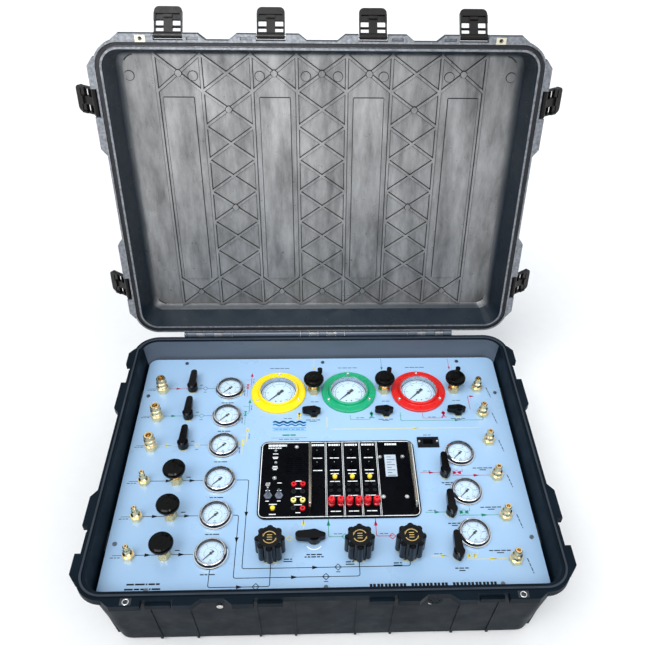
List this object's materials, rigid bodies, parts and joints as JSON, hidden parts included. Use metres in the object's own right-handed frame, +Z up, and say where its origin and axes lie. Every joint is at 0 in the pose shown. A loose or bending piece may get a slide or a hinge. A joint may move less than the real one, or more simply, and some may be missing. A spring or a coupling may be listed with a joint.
{
  "type": "diver gas control console",
  "caption": "Portable surface gas control console for divers: gauges, valves, regulators and a communicator panel in a hinged, latched transit case.",
  "frame": {"origin": "centre of the base's underside, below the middle of the rim opening", "axes": "+X to the user's right, +Y to the hinge side, +Z up"},
  "size_m": [1.0218, 0.874, 0.9736],
  "materials": {
    "case_plastic": "dark moulded plastic with a fine texture",
    "lid_plastic": "dark grey moulded plastic with a fine texture",
    "seal_rubber": "soft black seal",
    "bright_steel": "stainless, lightly brushed",
    "purge_plastic": "moulded, semi-gloss",
    "panel_paint": "pale blue powder coat",
    "frame_aluminium": "bare angle section",
    "gauge_case_steel": "bright bezel",
    "dial_white": "matt white dial",
    "lens_clear": "clear",
    "flange_yellow": "bright yellow",
    "flange_green": "green",
    "flange_red": "bright red",
    "brass": "turned brass",
    "valve_brass": "turned brass, duller",
    "tube_copper": "copper-coloured tube",
    "plate_black": "black anodised plate",
    "chassis_steel": "folded sheet",
    "jack_plastic": "coloured socket bodies",
    "rack_chrome": "bright plated bar",
    "inlet_black": "black moulding",
    "screw_steel": "stainless screws",
    "latch_black": "black moulded latch",
    "lever_black": "black moulded lever",
    "knob_black": "black glossy knob",
    "regulator_black": "black moulded hand knob",
    "pointer_black": "matt black needle",
    "handle_plastic": "black moulded handle",
    "button_yellow": "yellow push button"
  },
  "bodies": {
    "case_and_panel": {"base_shell": "case_plastic", "base_hardware": "bright_steel", "purge_valve": "purge_plastic", "panel_frame": "frame_aluminium", "panel_plate": "panel_paint", "panel_screws": "screw_steel", "gauge_cases": "gauge_case_steel", "gauge_dials": "dial_white", "gauge_lenses": "lens_clear", "flange_yellow": "flange_yellow", "flange_green": "flange_green", "flange_red": "flange_red", "inlet_fittings": "brass", "outlet_fittings": "brass", "valve_bodies": "valve_brass", "gas_tubing": "tube_copper", "comms_faceplate": "plate_black", "comms_chassis": "chassis_steel", "comms_jacks": "jack_plastic", "rack_handles": "rack_chrome", "power_inlet": "inlet_black"},
    "lid": {"lid_shell": "lid_plastic", "lid_seal": "seal_rubber", "lid_hardware": "bright_steel"},
    "latch_front_1": {"latch_front_1": "latch_black"},
    "latch_front_2": {"latch_front_2": "latch_black"},
    "latch_front_3": {"latch_front_3": "latch_black"},
    "latch_front_4": {"latch_front_4": "latch_black"},
    "latch_left_1": {"latch_left_1": "latch_black"},
    "latch_left_2": {"latch_left_2": "latch_black"},
    "latch_right_1": {"latch_right_1": "latch_black"},
    "latch_right_2": {"latch_right_2": "latch_black"},
    "supply_lever_1": {"supply_lever_1": "lever_black"},
    "supply_lever_2": {"supply_lever_2": "lever_black"},
    "supply_lever_3": {"supply_lever_3": "lever_black"},
    "depth_lever_1": {"depth_lever_1": "lever_black"},
    "depth_lever_2": {"depth_lever_2": "lever_black"},
    "depth_lever_3": {"depth_lever_3": "lever_black"},
    "umbilical_lever_1": {"umbilical_lever_1": "lever_black"},
    "umbilical_lever_2": {"umbilical_lever_2": "lever_black"},
    "umbilical_lever_3": {"umbilical_lever_3": "lever_black"},
    "tender_lever": {"tender_lever": "lever_black"},
    "needle_knob_1": {"needle_knob_1": "knob_black"},
    "needle_knob_2": {"needle_knob_2": "knob_black"},
    "needle_knob_3": {"needle_knob_3": "knob_black"},
    "depth_knob_1": {"depth_knob_1": "knob_black"},
    "depth_knob_2": {"depth_knob_2": "knob_black"},
    "depth_knob_3": {"depth_knob_3": "knob_black"},
    "regulator_knob_1": {"regulator_knob_1": "regulator_black"},
    "regulator_knob_2": {"regulator_knob_2": "regulator_black"},
    "regulator_knob_3": {"regulator_knob_3": "regulator_black"},
    "depth_pointer_1": {"depth_pointer_1": "pointer_black"},
    "depth_pointer_2": {"depth_pointer_2": "pointer_black"},
    "depth_pointer_3": {"depth_pointer_3": "pointer_black"},
    "carry_handle_left": {"carry_handle_left": "handle_plastic"},
    "carry_handle_right": {"carry_handle_right": "handle_plastic"},
    "talk_button": {"talk_button": "button_yellow"},
    "call_button_1": {"call_button_1": "button_yellow"},
    "call_button_2": {"call_button_2": "button_yellow"},
    "call_button_3": {"call_button_3": "button_yellow"}
  },
  "joints": [
    {"name": "lid_hinge", "type": "hinge", "parent": "case_and_panel", "child": "lid", "pos_m": [0, 0.3517, 0.2368], "axis": [1, 0, 0], "range_deg": [0, 98.3]},
    {"name": "latch_front_1_turn", "type": "hinge", "parent": "lid", "child": "latch_front_1", "pos_m": [-0.302, 0.46041, 0.93209], "axis": [1, 0, 0], "range_deg": [0, 125]},
    {"name": "latch_front_2_turn", "type": "hinge", "parent": "lid", "child": "latch_front_2", "pos_m": [-0.101, 0.46041, 0.93209], "axis": [1, 0, 0], "range_deg": [0, 125]},
    {"name": "latch_front_3_turn", "type": "hinge", "parent": "lid", "child": "latch_front_3", "pos_m": [0.101, 0.46041, 0.93209], "axis": [1, 0, 0], "range_deg": [0, 125]},
    {"name": "latch_front_4_turn", "type": "hinge", "parent": "lid", "child": "latch_front_4", "pos_m": [0.302, 0.46041, 0.93209], "axis": [1, 0, 0], "range_deg": [0, 125]},
    {"name": "latch_left_1_turn", "type": "hinge", "parent": "lid", "child": "latch_left_1", "pos_m": [-0.464, 0.44135, 0.80147], "axis": [0, 0.1444, 0.9895], "range_deg": [0, 125]},
    {"name": "latch_left_2_turn", "type": "hinge", "parent": "lid", "child": "latch_left_2", "pos_m": [-0.464, 0.37784, 0.36608], "axis": [0, 0.1444, 0.9895], "range_deg": [0, 125]},
    {"name": "latch_right_1_turn", "type": "hinge", "parent": "lid", "child": "latch_right_1", "pos_m": [0.464, 0.44135, 0.80147], "axis": [0, -0.1444, -0.9895], "range_deg": [0, 125]},
    {"name": "latch_right_2_turn", "type": "hinge", "parent": "lid", "child": "latch_right_2", "pos_m": [0.464, 0.37784, 0.36608], "axis": [0, -0.1444, -0.9895], "range_deg": [0, 125]},
    {"name": "supply_lever_1_turn", "type": "hinge", "parent": "case_and_panel", "child": "supply_lever_1", "pos_m": [-0.31, 0.2095, 0.198], "axis": [0, 0, 1], "range_deg": [-90, 0]},
    {"name": "supply_lever_2_turn", "type": "hinge", "parent": "case_and_panel", "child": "supply_lever_2", "pos_m": [-0.31, 0.1235, 0.198], "axis": [0, 0, 1], "range_deg": [-90, 0]},
    {"name": "supply_lever_3_turn", "type": "hinge", "parent": "case_and_panel", "child": "supply_lever_3", "pos_m": [-0.31, 0.0375, 0.198], "axis": [0, 0, 1], "range_deg": [-90, 0]},
    {"name": "depth_lever_1_turn", "type": "hinge", "parent": "case_and_panel", "child": "depth_lever_1", "pos_m": [-0.022, 0.128, 0.198], "axis": [0, 0, 1], "range_deg": [-90, 0]},
    {"name": "depth_lever_2_turn", "type": "hinge", "parent": "case_and_panel", "child": "depth_lever_2", "pos_m": [0.146, 0.128, 0.198], "axis": [0, 0, 1], "range_deg": [-90, 0]},
    {"name": "depth_lever_3_turn", "type": "hinge", "parent": "case_and_panel", "child": "depth_lever_3", "pos_m": [0.314, 0.128, 0.198], "axis": [0, 0, 1], "range_deg": [-90, 0]},
    {"name": "umbilical_lever_1_turn", "type": "hinge", "parent": "case_and_panel", "child": "umbilical_lever_1", "pos_m": [0.2595, -0.046, 0.198], "axis": [0, 0, 1], "range_deg": [0, 90]},
    {"name": "umbilical_lever_2_turn", "type": "hinge", "parent": "case_and_panel", "child": "umbilical_lever_2", "pos_m": [0.2595, -0.143, 0.198], "axis": [0, 0, 1], "range_deg": [0, 90]},
    {"name": "umbilical_lever_3_turn", "type": "hinge", "parent": "case_and_panel", "child": "umbilical_lever_3", "pos_m": [0.2595, -0.24, 0.198], "axis": [0, 0, 1], "range_deg": [0, 90]},
    {"name": "tender_lever_turn", "type": "hinge", "parent": "case_and_panel", "child": "tender_lever", "pos_m": [-0.022, -0.1995, 0.198], "axis": [0, 0, 1], "range_deg": [-90, 0]},
    {"name": "needle_knob_1_turn", "type": "hinge", "parent": "case_and_panel", "child": "needle_knob_1", "pos_m": [-0.313, -0.0525, 0.226], "axis": [0, 0, 1], "range_deg": [0, 1080]},
    {"name": "needle_knob_2_turn", "type": "hinge", "parent": "case_and_panel", "child": "needle_knob_2", "pos_m": [-0.313, -0.1395, 0.226], "axis": [0, 0, 1], "range_deg": [0, 1080]},
    {"name": "needle_knob_3_turn", "type": "hinge", "parent": "case_and_panel", "child": "needle_knob_3", "pos_m": [-0.313, -0.2265, 0.226], "axis": [0, 0, 1], "range_deg": [0, 1080]},
    {"name": "depth_knob_1_turn", "type": "hinge", "parent": "case_and_panel", "child": "depth_knob_1", "pos_m": [-0.022, 0.202, 0.226], "axis": [0, 0, 1], "range_deg": [0, 1080]},
    {"name": "depth_knob_2_turn", "type": "hinge", "parent": "case_and_panel", "child": "depth_knob_2", "pos_m": [0.146, 0.202, 0.226], "axis": [0, 0, 1], "range_deg": [0, 1080]},
    {"name": "depth_knob_3_turn", "type": "hinge", "parent": "case_and_panel", "child": "depth_knob_3", "pos_m": [0.314, 0.202, 0.226], "axis": [0, 0, 1], "range_deg": [0, 1080]},
    {"name": "regulator_knob_1_turn", "type": "hinge", "parent": "case_and_panel", "child": "regulator_knob_1", "pos_m": [-0.106, -0.23, 0.225], "axis": [0, 0, -1], "range_deg": [0, 1800]},
    {"name": "regulator_knob_2_turn", "type": "hinge", "parent": "case_and_panel", "child": "regulator_knob_2", "pos_m": [0.0655, -0.23, 0.225], "axis": [0, 0, -1], "range_deg": [0, 1800]},
    {"name": "regulator_knob_3_turn", "type": "hinge", "parent": "case_and_panel", "child": "regulator_knob_3", "pos_m": [0.164, -0.23, 0.225], "axis": [0, 0, -1], "range_deg": [0, 1800]},
    {"name": "depth_pointer_1_turn", "type": "hinge", "parent": "case_and_panel", "child": "depth_pointer_1", "pos_m": [-0.106, 0.197, 0.184], "axis": [0, 0, -1], "range_deg": [0, 270]},
    {"name": "depth_pointer_2_turn", "type": "hinge", "parent": "case_and_panel", "child": "depth_pointer_2", "pos_m": [0.061, 0.197, 0.184], "axis": [0, 0, -1], "range_deg": [0, 270]},
    {"name": "depth_pointer_3_turn", "type": "hinge", "parent": "case_and_panel", "child": "depth_pointer_3", "pos_m": [0.228, 0.197, 0.184], "axis": [0, 0, -1], "range_deg": [0, 270]},
    {"name": "carry_handle_left_turn", "type": "hinge", "parent": "case_and_panel", "child": "carry_handle_left", "pos_m": [-0.4455, 0, 0.19], "axis": [0, 1, 0], "range_deg": [0, 100]},
    {"name": "carry_handle_right_turn", "type": "hinge", "parent": "case_and_panel", "child": "carry_handle_right", "pos_m": [0.4455, 0, 0.19], "axis": [0, -1, 0], "range_deg": [0, 100]},
    {"name": "talk_button_press", "type": "slide", "parent": "case_and_panel", "child": "talk_button", "axis": [0, 0, -1], "range_m": [0, 0.002], "stiffness_N_per_m": 400},
    {"name": "call_button_1_press", "type": "slide", "parent": "case_and_panel", "child": "call_button_1", "axis": [0, 0, -1], "range_m": [0, 0.002], "stiffness_N_per_m": 400},
    {"name": "call_button_2_press", "type": "slide", "parent": "case_and_panel", "child": "call_button_2", "axis": [0, 0, -1], "range_m": [0, 0.002], "stiffness_N_per_m": 400},
    {"name": "call_button_3_press", "type": "slide", "parent": "case_and_panel", "child": "call_button_3", "axis": [0, 0, -1], "range_m": [0, 0.002], "stiffness_N_per_m": 400}
  ]
}
